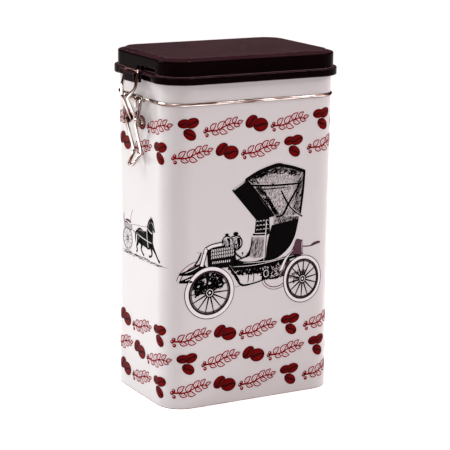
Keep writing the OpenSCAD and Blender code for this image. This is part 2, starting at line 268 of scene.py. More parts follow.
# %% Lid plastic
def lid_finish():
    made = Finish("lid_plastic", (0.005, 0.002, 0.0026), Roughness=0.08, IOR=1.06,
                  Specular_Tint=(1.0, 0.72, 0.76, 1))
    place = made.place()
    face = made.node("NewGeometry", output="Normal")
    facing_up = made.ramp(made.split(face)[2], 0.6, 0.95)
    cloud = made.ramp(made.noise(place, 60, 5, 0.6), 0.3, 0.75)
    brown = made.mix(cloud, (0.0026, 0.0007, 0.001), (0.0016, 0.0005, 0.0007))
    # A pale film on upward faces: partly a dust film, partly a painted sheen that lightens the top
    dust_film_and_sheen = made.ramp(made.noise(place, 40, 6, 0.7), 0.3, 0.8, 0.05, 0.12)
    brown = made.mix(made.times(dust_film_and_sheen, facing_up), brown, (0.20, 0.06, 0.085))
    # Painted highlight: a pale pink line where the bevel's rounded shading turns away from the face
    round_edge = made.node("Bevel", {"Radius": 0.0004}, samples=6)
    turned_away = made.vector_math("DOT_PRODUCT", round_edge, face, output="Value")
    painted_edge_highlight = made.times(made.ramp(turned_away, 0.97, 0.8), 0.75)
    brown = made.mix(painted_edge_highlight, brown, (0.34, 0.19, 0.21))
    # Dust in patches, and scratches
    dots = made.ramp(made.cells(place, 330, "Distance"), 0.16, 0.05)
    dust = made.times(dots, made.ramp(made.noise(place, 45, 3), 0.42, 0.68))
    dust = made.times(made.times(dust, facing_up), 0.3)
    gloss = made.ramp(made.noise(place, 120, 4), 0.25, 0.8, 0.05, 0.1)
    made.shade(Base_Color=made.mix(dust, brown, (0.42, 0.34, 0.36)),
               Roughness=made.math("ADD", gloss, made.times(facing_up, 0.14)))
    scratch = made.times(made.noise(made.place((1, 0.05, 1)), 1500, 2), 0.5)
    made.bump(made.math("ADD", scratch, made.noise(place, 700, 2)), 0.04, 0.00006, round_edge)
    return made.material


lid_plastic = lid_finish()
print("finish:", lid_plastic.name)

# %% [markdown]
# ### Plated wire, soft seal
# Bright wire is drawn through a die, so its fine lines run along it. The wire's own UV map carries
# the length in metres along u and the turn round the wire along v, which keeps the lines straight
# on every bend. Old plating has patches of brown tarnish, and dark brown streaks along the lines and
# a dark brown edge tint are painted dark reflections. The seal is pale rubber, faintly rough.


# %% Wire and seal
def wire_finish():
    # The dark brown specular tint darkens the wire's outline: a painted dark reflection
    made = Finish("plated_wire", (0.8, 0.75, 0.72), Metallic=1.0, Roughness=0.1,
                  Specular_Tint=(0.3, 0.16, 0.13, 1))
    along = made.node("TexCoord", output="UV")
    lines = made.noise(made.node("Mapping", {"Vector": along, "Scale": (40, 5, 1)}), 1, 2)
    tarnish = made.ramp(made.noise(made.place(), 150, 3, 0.5), 0.35, 0.7)
    bright = made.mix(tarnish, (0.86, 0.80, 0.77), (0.62, 0.52, 0.48))
    # Dark brown streaks along the drawn lines are painted dark reflections
    made.shade(Base_Color=made.mix(made.ramp(lines, 0.47, 0.56), bright, (0.13, 0.07, 0.055)),
               Roughness=made.ramp(lines, 0.3, 0.75, 0.07, 0.14))
    made.bump(lines, 0.02, 0.00001)
    return made.material


def seal_finish():
    made = Finish("seal_rubber", (0.62, 0.6, 0.55), Roughness=0.7, Sheen_Weight=0.2)
    place = made.place()
    tone = made.ramp(made.noise(place, 160, 4), 0.3, 0.7)
    made.shade(Base_Color=made.mix(tone, (0.66, 0.64, 0.59), (0.55, 0.53, 0.48)))
    made.bump(made.noise(place, 1800, 2), 0.2, 0.00006)
    return made.material


plated_wire = wire_finish()
seal_rubber = seal_finish()
print("finishes:", plated_wire.name, seal_rubber.name)

# %% [markdown]
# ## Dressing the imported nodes
# The shell, the bottom, the lid and the seal already have their true shape, so they only get their
# finishes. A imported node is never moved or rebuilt.


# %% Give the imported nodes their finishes
for node_name, material in (
    ("body_shell", tin_lacquer),
    ("bottom_plate", tinplate),
    ("lid_shell", lid_plastic),
    ("lid_seal", seal_rubber),
):
    mesh = nodes[node_name].data
    mesh.materials.clear()
    mesh.materials.append(material)
    print(node_name, "->", material.name)

# %% [markdown]
# ## Meshes from arrays
# Every new piece is a set of grids. A grid is a whole array of points, and its faces join each
# point to its neighbours in the next row and column, so one index sum makes all of them at once.


# %% Put arrays into a mesh
def grid_faces(rows, columns, wrap=False):
    """Quads of a grid numbered row by row: (i, j), (i, j+1), (i+1, j+1), (i+1, j)."""
    last = columns if wrap else columns - 1
    i, j = np.meshgrid(np.arange(rows - 1), np.arange(last), indexing="ij")
    beside = (j + 1) % columns
    here, there = i * columns, (i + 1) * columns
    return np.stack([here + j, here + beside, there + beside, there + j], -1).reshape(-1, 4)


def add_piece(name, points, faces, uv, material, body, slot):
    """A piece from points in millimetres, quads and one UV pair a point; it rides on a body."""
    mesh = bpy.data.meshes.new(name)
    mesh.vertices.add(len(points))
    mesh.vertices.foreach_set("co", (points * MM).astype(np.float32).ravel())
    loops = faces.astype(np.int32).ravel()
    mesh.loops.add(loops.size)
    mesh.loops.foreach_set("vertex_index", loops)
    mesh.polygons.add(len(faces))
    mesh.polygons.foreach_set("loop_start", np.arange(0, loops.size, 4, dtype=np.int32))
    mesh.polygons.foreach_set("use_smooth", np.ones(len(faces), bool))
    layer = mesh.uv_layers.new(name="UVMap")
    layer.data.foreach_set("uv", uv[loops].astype(np.float32).ravel())
    mesh.materials.append(material)
    mesh.update(calc_edges=True)
    mesh.validate()
    piece = bpy.data.objects.new(name, mesh)
    bpy.context.scene.collection.objects.link(piece)
    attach(piece, body)
    print(f"{name}: {len(points)} points, {len(faces)} faces, on {body}")
    return piece


# %% [markdown]
# ## Wires
# A clasp wire is a rod bent over pins. It could be a curve with a bevel, but a swept grid gives
# exact control of the bends and of the ends. The centre line is written as the corners that the
# wire would have if it were folded sharply; each corner is then rounded to its bend radius.


# %% Centre lines from folded corners
TURN_STEP = 6


def bent(corners):
    """Path through [x, y, z, radius] corners; an inner one becomes an arc touching both legs."""
    points = [np.array(c[:3], float) for c in corners]
    path = [points[:1]]
    for before, here, after, corner in zip(points, points[1:], points[2:], corners[1:]):
        u = (here - before) / np.linalg.norm(here - before)
        v = (after - here) / np.linalg.norm(after - here)
        turn = math.acos(max(-1.0, min(1.0, float(u @ v))))
        inward = v - u * (u @ v)
        inward /= np.linalg.norm(inward)
        start = here - u * corner[3] * math.tan(turn / 2)
        t = np.linspace(0, turn, max(3, math.ceil(math.degrees(turn) / TURN_STEP)))[:, None]
        path.append(start + corner[3] * (u * np.sin(t) + inward * (1 - np.cos(t))))
    path.append(points[-1:])
    return np.concatenate([np.asarray(p) for p in path])


def coil(centre, y0, y1, a, b):
    """Loop round the pivot at centre (x, z), from angle a at depth y0 to angle b at depth y1."""
    t = np.linspace(0, 1, math.ceil(abs(b - a) / TURN_STEP) + 1)
    angle = np.radians(a + (b - a) * t)
    return np.stack([centre[0] + LOOP_R * np.cos(angle), y0 + (y1 - y0) * t,
                     centre[1] + LOOP_R * np.sin(angle)], 1)


def join(*paths):
    """Paths end to end, without the point that each shares with the one before."""
    return np.concatenate([paths[0], *[p[1:] for p in paths[1:]]])


def both_halves(half):
    """A path that starts on the plane y = 0, and its mirror image before it."""
    return join((half * (1, -1, 1))[::-1], half)


# %% [markdown]
# The tube is a circle carried along that line. Each circle's frame is the last one, turned only as
# far as the line turns, so the tube never twists. The cut ends are rounded off by circles that
# shrink along a quarter circle, and close on a small cap.


# %% A round tube along a line
TUBE_R, SIDES, STATION = WIRE_R - 0.01, 20, 4.0
CAP_RINGS, CAP_REACH, CAP_TURN = 4, 0.6, 0.97 * math.pi / 2


def lengths(path):
    """The length of each leg of a path."""
    return np.linalg.norm(np.diff(path, axis=0), axis=1)


def tube(path):
    """Points, quads and UV of a tube: path(u) + r (side cos v + across sin v), rounded ends."""
    path = path[np.r_[True, lengths(path) > 1e-6]]
    # Straight runs get stations every few millimetres
    legs = lengths(path)
    counts = np.maximum(1, np.ceil(legs / STATION).astype(int))
    at = np.concatenate([i + np.arange(n) / n for i, n in enumerate(counts)] + [[len(legs)]])
    path = np.stack([np.interp(at, np.arange(len(path)), path[:, k]) for k in range(3)], 1)
    heading = np.gradient(path, axis=0)
    heading /= np.linalg.norm(heading, axis=1)[:, None]
    side = np.empty_like(path)
    first = np.cross(heading[0], (0, 0, 1) if abs(heading[0][2]) < 0.8 else (0, 1, 0))
    for i, h in enumerate(heading):
        first = first - h * (first @ h)
        first = first / np.linalg.norm(first)
        side[i] = first
    across = np.cross(heading, side)
    # The rounded ends: stations beyond each end, each with a smaller circle
    a = np.linspace(0, CAP_TURN, CAP_RINGS + 1)[1:]
    size = TUBE_R * np.concatenate([np.cos(a)[::-1], np.ones(len(path)), np.cos(a)])
    out = TUBE_R * CAP_REACH * np.sin(a)[:, None]
    start, end = (path[0] - out * heading[0])[::-1], path[-1] + out * heading[-1]
    centre = np.concatenate([start, path, end])
    pad = ((CAP_RINGS, CAP_RINGS), (0, 0))
    side, across = np.pad(side, pad, mode="edge"), np.pad(across, pad, mode="edge")
    turn = np.linspace(0, 2 * math.pi, SIDES, endpoint=False)
    ring = side[:, None] * np.cos(turn)[:, None] + across[:, None] * np.sin(turn)[:, None]
    points = centre[:, None] + size[:, None, None] * ring
    length = np.r_[0, np.cumsum(lengths(centre))] * MM
    uv = np.stack(np.broadcast_arrays(length[:, None], turn / (2 * math.pi)), -1)
    rows = len(centre)
    faces = grid_faces(rows, SIDES, wrap=True)[:, ::-1]
    # Each end is closed by quads across its last small circle
    k = np.arange(SIDES // 2 - 1)
    lid = np.stack([k, k + 1, SIDES - 2 - k, SIDES - 1 - k], 1)
    faces = np.concatenate([faces, lid, lid[:, ::-1] + (rows - 1) * SIDES])
    return points.reshape(-1, 3), faces, uv.reshape(-1, 2)


# %% [markdown]
# ### The ring, with its two hooks and its hump
# One wire lies in the groove round the tin. On the left end its two tails hook over the lever's
# pivot bar, and on the right end it bows out into a hump that carries the hinge wire.

# %% Ring wire
ARM_HW = 8.8
HOOK_Y = ARM_HW - BEND_R - WIRE_R
LEG_Y = 12.0
HUMP_OUT, HUMP_CORNER, HUMP_FOOT, TAIL_H = 3.8, 3.5, 7.5, 3.6
HUMP = (END_X + HUMP_OUT, RING_Z)


def ring_half():
    """Half of the ring, from the middle of the hump to the tail of a hook."""
    pivot_x, pivot_z = LEVER_PIVOT
    # The wire lies on the end wall until it leans out and up into the hook
    lying = bent([
        [HUMP[0], 0, HUMP[1]],
        [HUMP[0], LEG_Y + HUMP_CORNER, HUMP[1], 2],
        [END_X, LEG_Y + HUMP_FOOT, HUMP[1], 2],
        [END_X, SIDE_Y, RING_Z, CORNER_R],
        [-END_X, SIDE_Y, RING_Z, CORNER_R],
        [-END_X, HOOK_Y + 5, RING_Z, 2],
        [-END_X - 0.6, HOOK_Y + 2.4, RING_Z - 0.2, 1.5],
        [pivot_x + LOOP_R, HOOK_Y, pivot_z - 1.2, 0.8],
        [pivot_x + LOOP_R, HOOK_Y, pivot_z],
    ])
    hook = coil(LEVER_PIVOT, HOOK_Y, HOOK_Y, 0, 180)
    tail = np.array([hook[-1], [pivot_x - LOOP_R + 0.2, HOOK_Y, pivot_z - TAIL_H]])
    return join(lying, hook, tail)


def add_wire(name, path, body, node):
    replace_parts(add_piece(name, *tube(path), plated_wire, body, "wire"), node)


add_wire("ring", both_halves(ring_half()), "tin", "ring_wire")

# %% [markdown]
# ### Hinge wire
# A straight pin runs through the lid's knuckle. Its ends turn down into legs, which curl round the
# ring's hump.

# %% Hinge wire
hinge_leg = bent([
    [HINGE[0], 0, HINGE[1]],
    [HINGE[0], LEG_Y, HINGE[1], BEND_R],
    [HUMP[0] + LOOP_R, LEG_Y, HUMP[1] + 3, 2],
    [HUMP[0] + LOOP_R, LEG_Y, HUMP[1]],
])
EYE_TURN = -255
hinge_eye = coil(HUMP, LEG_Y, LEG_Y, 0, EYE_TURN)
add_wire("hinge", both_halves(join(hinge_leg, hinge_eye)), "tin", "hinge_wire")

# %% [markdown]
# ### Lever and bail
# The lever hangs from the ring's hooks by a straight bar. Below it each arm makes one full coil,
# and the grips run on to a finger loop. The bail is the small stirrup that catches the lid's nose:
# its legs cross in to a waist, and its feet turn out through the lever's coils.

# %% Lever and bail
GRIP_HW, BEND_HW, GRIP_H = 5.6, 4.2, 17.8
LOOP_H, LOOP_OUT, LOOP_HW = 6.8, 5.8, 2.5
BAIL_HW, BAR_OUT, WAIST_HW, WAIST_OUT = 8.0, 4.7, 3.0, 9.4
FOOT_HW, PIN_OVER = 3.5, 0.6
FLANGE_H, NOSE_DROP, LATCH_GAP = 4.3, 0.6, 0.25
WEB_Z = TOTAL_H - LID_H + FLANGE_H
BAR_Z = WEB_Z - NOSE_DROP + LATCH_GAP + WIRE_R


def lever_half():
    """Half of the lever: pivot bar, arm, one turn of coil, grip and finger loop."""
    outer = ELBOW[0] - LOOP_R
    tip_z = ELBOW[1] - GRIP_H - LOOP_H
    arm = bent([
        [LEVER_PIVOT[0], 0, LEVER_PIVOT[1]],
        [LEVER_PIVOT[0], ARM_HW, LEVER_PIVOT[1], BEND_R],
        [outer, ARM_HW, ELBOW[1] + 2, 4],
        [outer, ARM_HW, ELBOW[1]],
    ])
    grip = bent([
        [outer, GRIP_HW, ELBOW[1]],
        [outer, GRIP_HW, ELBOW[1] - 1.5, 3],
        [-END_X - WIRE_R - 0.4, BEND_HW, ELBOW[1] - GRIP_H, 3],
        [-END_X - LOOP_OUT, LOOP_HW, tip_z, 2],
        [-END_X - LOOP_OUT, 0, tip_z],
    ])
    return join(arm, coil(ELBOW, ARM_HW, GRIP_HW, 180, 540), grip)


add_wire("lever", both_halves(lever_half()), "lever", "lever_wire")
bail_half = bent([
    [-END_X - BAR_OUT, 0, BAR_Z],
    [-END_X - BAR_OUT, BAIL_HW, BAR_Z, BEND_R],
    [-END_X - 7, BAIL_HW + 0.2, WEB_Z - 8.8, 4],
    [-END_X - WAIST_OUT, WAIST_HW, LEVER_PIVOT[1] + 0.8, 3],
    [ELBOW[0], FOOT_HW, ELBOW[1], BEND_R],
    [ELBOW[0], ARM_HW + WIRE_R + PIN_OVER, ELBOW[1]],
])
add_wire("bail", both_halves(bail_half), "bail", "bail_wire")

# %% [markdown]
# ## Printed decoration
# The print goes all round the tin, so it is drawn on the wall unrolled: s is the distance round the
# wall from the middle of the front face, and z the height. One function rolls a flat drawing on to
# the wall, straight or round a corner. It could be a picture on a plane, but thin ink shapes stay
# sharp from near by and are real geometry.


# %% Roll a flat drawing on to the wall
ARC = CORNER_R * math.pi / 2
RUNS = np.array([FLAT_X * 2, ARC, FLAT_Y * 2, ARC] * 2)
STARTS = np.r_[0, np.cumsum(RUNS)[:-1]] - FLAT_X
ROUND = RUNS.sum()


def on_wall(s, z, proud):
    """The wall's outline at distance s: corner centre + (r + proud) normal + the straight run."""
    s = (s + FLAT_X) % ROUND - FLAT_X
    k = np.searchsorted(STARTS, s, side="right") - 1
    run = s - STARTS[k]
    curved = k % 2
    angle = (k // 2) * math.pi / 2 - math.pi / 2 + curved * run / CORNER_R
    centre_x = FLAT_X * np.array([-1, 1, 1, 1, 1, -1, -1, -1])[k]
    centre_y = FLAT_Y * np.array([-1, -1, -1, 1, 1, 1, 1, -1])[k]
    along = np.where(curved, 0, run)
    x = centre_x + (CORNER_R + proud) * np.cos(angle) - along * np.sin(angle)
    y = centre_y + (CORNER_R + proud) * np.sin(angle) + along * np.cos(angle)
    return np.stack([x, y, z + 0 * x], -1)


print(f"distance round the wall: {ROUND:.1f} mm")

# %% [markdown]
# An ink shape is a patch between two edges. A ribbon is a patch too, between the two sides of a
# line whose width may change, and so are a disc and a leaf. Each patch becomes a thin closed slab:
# its underside lies in the lacquer, and its top stands proud by a few hundredths of a millimetre.
# Shapes printed over others stand a little higher. Every motif is drawn about its own zero, and
# Ink.origin says where on the unrolled wall that zero lies.


# %% Ink shapes
INK_PROUD, INK_LAYER, INK_SUNK = 0.03, 0.014, -0.15


def smooth_line(points, count=32):
    """A Catmull-Rom curve: between two points the line heads the way their outer neighbours lie."""
    p = np.array(points, float)
    p = np.concatenate([[2 * p[0] - p[1]], p, [2 * p[-1] - p[-2]]])
    t = np.linspace(0, len(p) - 3 - 1e-9, count)
    i = t.astype(int)
    f = (t - i)[:, None]
    a, b, c, d = p[i], p[i + 1], p[i + 2], p[i + 3]
    square, cube = a - 2.5 * b + 2 * c - d / 2, 1.5 * (b - c) + (d - a) / 2
    return b + f * (c - a) / 2 + f**2 * square + f**3 * cube


def patch(edge_a, edge_b, across=2):
    """Grid of points from edge a to edge b, straight across."""
    t = np.linspace(0, 1, across)[:, None]
    return edge_a[:, None] * (1 - t) + edge_b[:, None] * t


def ribbon(line, width):
    """Patch of the given width, which may change along the line, centred on it."""
    line = np.asarray(line, float)
    heading = np.gradient(line, axis=0)
    heading /= np.maximum(np.linalg.norm(heading, axis=1), 1e-9)[:, None]
    reach = np.broadcast_to(width, len(line))[:, None] / 2
    left = np.stack([-heading[:, 1], heading[:, 0]], 1) * reach
    return patch(line + left, line - left)


def arc_line(centre, rx, rz, a, b, count):
    """Line along an ellipse, from angle a to b in degrees."""
    t = np.radians(np.linspace(a, b, count))
    return np.stack([centre[0] + rx * np.cos(t), centre[1] + rz * np.sin(t)], 1)


def disc(centre, rx, rz, count=24):
    """Filled ellipse, as a patch between its upper and its lower half."""
    halves = [arc_line(centre, rx, rz, *span, count) for span in ((177, 3), (183, 357))]
    return patch(*halves, 4)


def turned(grid, angle, centre=(0, 0)):
    """The grid turned by an angle in degrees and moved to a centre."""
    c, s = math.cos(math.radians(angle)), math.sin(math.radians(angle))
    return grid @ np.array([[c, s], [-s, c]]) + centre


class Ink:
    """One ink: gathers flat shapes, and prints them on the wall as one piece."""

    origin = (0.0, 0.0)

    def __init__(self, name, material):
        self.name, self.material, self.shapes = name, material, []

    def lay(self, grid, layer, shade=None):
        """Adds a shape at the origin. Shade is its UV; by default it runs from 0 to 1 each way."""
        if shade is None:
            sweeps = [np.linspace(0, 1, count) for count in grid.shape[:2]]
            shade = np.stack(np.meshgrid(*sweeps, indexing="ij"), -1)
        self.shapes.append((grid + Ink.origin, layer, shade))

    def print_on(self, body):
        """Rolls every shape on to the wall as a closed slab."""
        points, faces, uvs, used = [], [], [], 0
        for grid, layer, shade in self.shapes:
            rows, columns = grid.shape[:2]
            n = rows * columns
            # Turned so that its faces look outward whichever way its edges were drawn
            middle = grid[rows // 2 - 1:rows // 2 + 1]
            a, b = middle[-1, 0] - middle[0, 0], middle[0, -1] - middle[0, 0]
            flip = a[0] * b[1] - a[1] * b[0] < 0
            s, z = grid[..., 0].ravel(), grid[..., 1].ravel()
            top = on_wall(s, z, INK_PROUD + layer * INK_LAYER)
            under = on_wall(s, z, INK_SUNK)
            quads = grid_faces(rows, columns)
            # The rim runs along the first row, the last column, the last row and the first column
            rim = np.concatenate([
                np.arange(columns), columns * np.arange(2, rows + 1) - 1,
                n - 2 - np.arange(columns - 1), columns * np.arange(rows - 2, 0, -1),
            ])
            after = np.roll(rim, -1)
            sides = np.stack([rim, after, after + n, rim + n], 1)
            skin = np.concatenate([quads[:, ::-1], quads + n, sides])
            faces.append((skin[:, ::-1] if flip else skin) + used)
            points += [top, under]
            uvs += [shade.reshape(-1, 2)] * 2
            used += 2 * n
        piece = add_piece(self.name, np.concatenate(points), np.concatenate(faces),
                          np.concatenate(uvs), self.material, body, "print_ink")
        piece.data.set_sharp_from_angle(angle=math.radians(40))


# %% [markdown]
# ### Inks
# The inks lie under the same clear varnish as the lacquer, but here they are rough, with almost no
# gloss. The beans are shaded: their UV map gives each point's place in the bean, and the ink is
# darkest at the rim and along the crease.


# %% Ink finishes
def ink_finish(name, color, mottle):
    made = Finish(name, color, Roughness=0.35, Specular_IOR_Level=0.01)
    grain = made.ramp(made.noise(made.place(), 1500, 3, 0.7), 0.3, 0.75)
    pale = tuple(min(1, c * (1 + 2 * mottle) + 0.02 * mottle) for c in color)
    made.shade(Base_Color=made.mix(grain, color, pale))
    made.bump(made.noise(made.place(), 900, 2), 0.06, 0.0001)
    return made.material


def bean_finish():
    made = Finish("bean_ink", (0.12, 0.001, 0.001), Roughness=0.35, Specular_IOR_Level=0.02)
    place = made.node("TexCoord", output="UV")
    centred = made.vector_math("SUBTRACT", place, (0.5, 0.5, 0))
    reach = made.vector_math("LENGTH", centred, output="Value")
    grain = made.ramp(made.noise(made.place(), 1300, 3, 0.7), 0.3, 0.8)
    red = made.mix(grain, (0.085, 0.0006, 0.0009), (0.14, 0.002, 0.002))
    along, across, _ = made.split(centred)
    shaded_end = made.ramp(along, 0.1, -0.45)
    crease = made.ramp(made.math("ABSOLUTE", across), 0.2, 0.03)
    rim = made.ramp(reach, 0.36, 0.49)
    for share, depth, dark in (
        (shaded_end, 0.6, (0.035, 0.001, 0.0015)),
        (crease, 0.7, (0.05, 0.002, 0.003)),
        (rim, 0.75, (0.045, 0.003, 0.004)),
    ):
        red = made.mix(made.times(share, depth), red, dark)
    made.shade(Base_Color=red)
    made.bump(made.noise(made.place(), 900, 2), 0.06, 0.0001)
    return made.material


beans = Ink("print_beans", bean_finish())
creases, maroon, blush, black, paper, grey, plum = (
    Ink("print_" + name, ink_finish(finish + "_ink", color, mottle))
    for name, finish, color, mottle in (
        ("creases", "crease", (0.006, 0.0008, 0.001), 0.04),
        ("sprig_lines", "maroon", (0.14, 0.004, 0.006), 0.12),
        ("blush", "blush", (0.49, 0.42, 0.43), 0.03),
        ("black", "black", (0.0015, 0.001, 0.0012), 0.04),
        ("paper", "paper", (0.55, 0.52, 0.53), 0.03),
        ("grey", "grey", (0.25, 0.225, 0.23), 0.1),
        ("plum", "plum", (0.055, 0.024, 0.034), 0.12),
    )
)
inks = [beans, creases, maroon, blush, black, paper, grey, plum]
print("inks:", [i.name for i in inks])

# %% [markdown]
# ### Beans
# A bean is an ellipse with a slightly wavy crease. Two or three of them overlap in a cluster.


# %% Bean clusters
BEAN_TIP, CREASE = 0.06, 0.09


def add_bean(centre, angle, length, width, layer):
    """An ellipse as a grid, x = -cos u, y = v sin u; its crease on top is a sine that tapers."""
    u = np.linspace(BEAN_TIP, math.pi - BEAN_TIP, 15)[:, None]
    v = np.linspace(-1, 1, 6)[None]
    unit = np.stack([-np.cos(u) + 0 * v, np.sin(u) * v], -1)
    grid = turned(unit * (length / 2, width / 2), angle, centre)
    beans.lay(grid, layer, unit * 0.5 + 0.5)
    t = np.linspace(-0.9, 0.9, 15)
    line = np.stack([t * length / 2, CREASE * width * np.sin(t * 3.2)], 1)
    crease = ribbon(line, CREASE * width * (1 - np.abs(t) ** 3) + 0.08)
    creases.lay(turned(crease, angle, centre), layer + 1)


def two_beans():
    add_bean((-3.4, 1.6), 38, 8.6, 6.4, 1)
    add_bean((2.3, -0.6), -4, 9.6, 7.8, 3)


def three_beans():
    add_bean((-2.6, 3.0), 6, 7.2, 5.2, 1)
    add_bean((2.0, 3.2), 12, 8.2, 5.8, 3)
    add_bean((0.6, -3.0), -36, 8.2, 5.8, 5)


# %% [markdown]
# ### Coffee sprig
# Between the clusters runs a sprig of the coffee bush: a stem with broad leaves in pairs and a few
# round berries. Leaves are drawn twice, first in maroon and then a little narrower in a pale ink,
# which leaves an outline, and each gets a vein.


# %% Coffee sprig
SPRIG_TILT = 12
LEAF_WIDTH = 0.54
LEAF_PAIRS = ((-7.8, 5.3), (-3.2, 5.9), (1.6, 5.4), (6.0, 4.6))
BERRIES = ((-10.2, 1.5), (-11.4, 0.4), (-10.6, -1.9))


def stem_z(x):
    return 0.55 * np.sin(0.42 * x) - 0.3


def leaf(root, angle, length):
    """A pointed leaf: a line that bends back towards the stem, with its width as sin(pi t^0.8)."""
    t = np.linspace(0, 1, 12)
    way = np.radians(angle * (1.2 - 0.5 * t))
    line = root + length * t[:, None] * np.stack([np.cos(way), np.sin(way)], 1)
    line = turned(line, SPRIG_TILT)
    width = LEAF_WIDTH * length * np.sin(math.pi * t**0.8)
    maroon.lay(ribbon(line, width + 0.4), 1)
    blush.lay(ribbon(line[1:-1], np.maximum(width[1:-1] - 1.05, 0.08)), 2)
    maroon.lay(ribbon(line[:9], np.linspace(0.42, 0.16, 9)), 3)


def sprig():
    x = np.linspace(-11.6, 9.4, 30)
    stem = np.stack([x, stem_z(x)], 1)
    for root, length in LEAF_PAIRS:
        leaf((root, stem_z(root)), 52, length)
        leaf((root + 0.7, stem_z(root)), -50, length * 0.92)
    leaf(stem[-2], 8, 3.9)
    maroon.lay(ribbon(turned(stem, SPRIG_TILT), np.linspace(1.05, 0.5, 30)), 4)
    for berry in BERRIES:
        middle = turned(np.array(berry), SPRIG_TILT)
        maroon.lay(disc(middle, 1.1, 1.1, 12), 4)
        blush.lay(disc(middle + (-0.2, 0.25), 0.28, 0.28, 8), 5)


# %% [markdown]
# ### Rows
# Sixteen places go round the tin in each row: cluster of three, sprig, cluster of two, sprig.
# Every other row starts one place earlier, so that unlike motifs stand over one another.


# %% Rows of beans and sprigs
PLACES = 16
PITCH = ROUND / PLACES
TOP_ROWS = ((157.2, 0), (143.2, 1))
LOW_ROWS = ((40.8, 1), (26.0, 0), (11.2, 1))
SHIFT = 2.6
for height, early in TOP_ROWS + LOW_ROWS:
    for place in range(PLACES):
        Ink.origin = ((place - 2 - early) * PITCH + early * SHIFT, height)
        (three_beans, sprig, two_beans, sprig)[place % 4]()
print(f"{PLACES} places a row, {PITCH:.1f} mm apart; bean shapes: {len(beans.shapes)}")

# %% [markdown]
# ### A veteran motor car
# The long faces carry an old runabout with a folding hood, drawn like a wood engraving: solid black
# shapes, outlines that swell, and hatching. The car is built from named parts, a few strokes each.
# Positions are in millimetres from the middle of the face and from the base. After its points, a
# stroke gives its width, its layer and, where it isn't the usual one, the share of its width left
# at its ends. A hatch gives how many strokes it has, their length, slant and width, its layer, and
# how far their slant varies.


# %% Drawing tools for the engraving
seeded = np.random.default_rng(7)


def fill(ink, edge_a, edge_b, layer, across=4):
    """A filled shape between two edges, each given by a few points."""
    ink.lay(patch(smooth_line(edge_a), smooth_line(edge_b), across), layer)


def draw(ink, points, width, layer, taper=0.35):
    """A line that swells from thin ends to its full width."""
    line = smooth_line(points, max(12, 8 * len(points)))
    t = np.linspace(-1, 1, len(line))
    ink.lay(ribbon(line, width * (1 - (1 - taper) * t**4)), layer)


def bar(ink, start, end, width, layer):
    """A straight line of one width."""
    ink.lay(ribbon([start, end], width), layer)


def hoop(ink, centre, rx, rz, width, layer, a=0.0, b=360.0, count=44):
    """A ring, or the part of it from angle a to b, as a line of one width."""
    ink.lay(ribbon(arc_line(centre, rx, rz, a, b, count), width), layer)


def spokes(centre, rx, rz, angles, span, width, layer, count):
    """Straight spokes between two shares of the way from the hub to the rim."""
    for angle in np.radians(angles):
        way = np.array([math.cos(angle) * rx, math.sin(angle) * rz])
        line = np.array(centre) + np.linspace(*span, count)[:, None] * way
        black.lay(ribbon(line, width), layer)


def hatch(ink, edge_a, edge_b, count, length, angle, width, layer, spread=12):
    """Short strokes scattered evenly over the patch between two edges."""
    a, b = smooth_line(edge_a, 60), smooth_line(edge_b, 60)
    u, v = seeded.random(count), seeded.random(count)
    k = (u * 59).astype(int)
    middle = a[k] * (1 - v[:, None]) + b[k] * v[:, None]
    lean = np.radians(angle + spread * seeded.standard_normal(count))
    half = length * (0.4 + 0.6 * seeded.random(count)) / 2
    step = np.stack([np.cos(lean), np.sin(lean)], 1) * half[:, None]
    side = np.stack([-np.sin(lean), np.cos(lean)], 1) * width / 2
    corners = [middle - step + side, middle - step - side,
               middle + step + side, middle + step - side]
    for grid in np.stack(corners, 1).reshape(-1, 2, 2, 2):
        ink.lay(grid, layer)


# %% [markdown]
# A wheel is rings of line and paper: a thin outline, a pale tyre, a dark felloe, and spokes that
# taper from the hub outward.


# %% Wheels
WHEEL_LAYER, SPOKES = 7, 14


def wheel(c, rx, rz, first=0.0):
    """A spoked wheel seen slightly from the side, rx wide and rz high from its centre c."""
    hoops = ((paper, 0.905, 0.17 * rx, 0), (black, 0.99, 0.42, 1), (black, 0.81, 1.15, 1),
             (black, 0.745, 0.45, 1), (plum, 0.80, 0.3, 2))
    for ink, share, width, lift in hoops:
        hoop(ink, c, rx * share, rz * share, width, WHEEL_LAYER + lift)
    angles = first + np.arange(SPOKES) * 360 / SPOKES
    spokes(c, rx, rz, angles, (0.14, 0.77), np.linspace(0.95, 0.48, 6), WHEEL_LAYER + 1, 6)
    black.lay(disc(c, 0.19 * rx, 0.19 * rz), WHEEL_LAYER + 2)
    hoop(paper, c, 0.13 * rx, 0.13 * rz, 0.3, WHEEL_LAYER + 3, count=20)
    paper.lay(disc(c, 0.045 * rx, 0.045 * rz, 10), WHEEL_LAYER + 3)


def far_hoop(c, rx, rz, a, b):
    """The part of a far wheel that shows past the body: two thin lines with the tyre between."""
    hoop(blush, c, rx * 0.93, rz * 0.93, 0.13 * rx, 0, a, b, 40)
    hoop(black, c, rx, rz, 0.35, 1, a, b, 40)
    hoop(black, c, rx * 0.86, rz * 0.86, 0.5, 1, a, b, 40)


# %% [markdown]
# The hood is a faceted shell of dark leather: a black front flap, a grey hatched side, a heavy
# border and two iron struts that fold it.


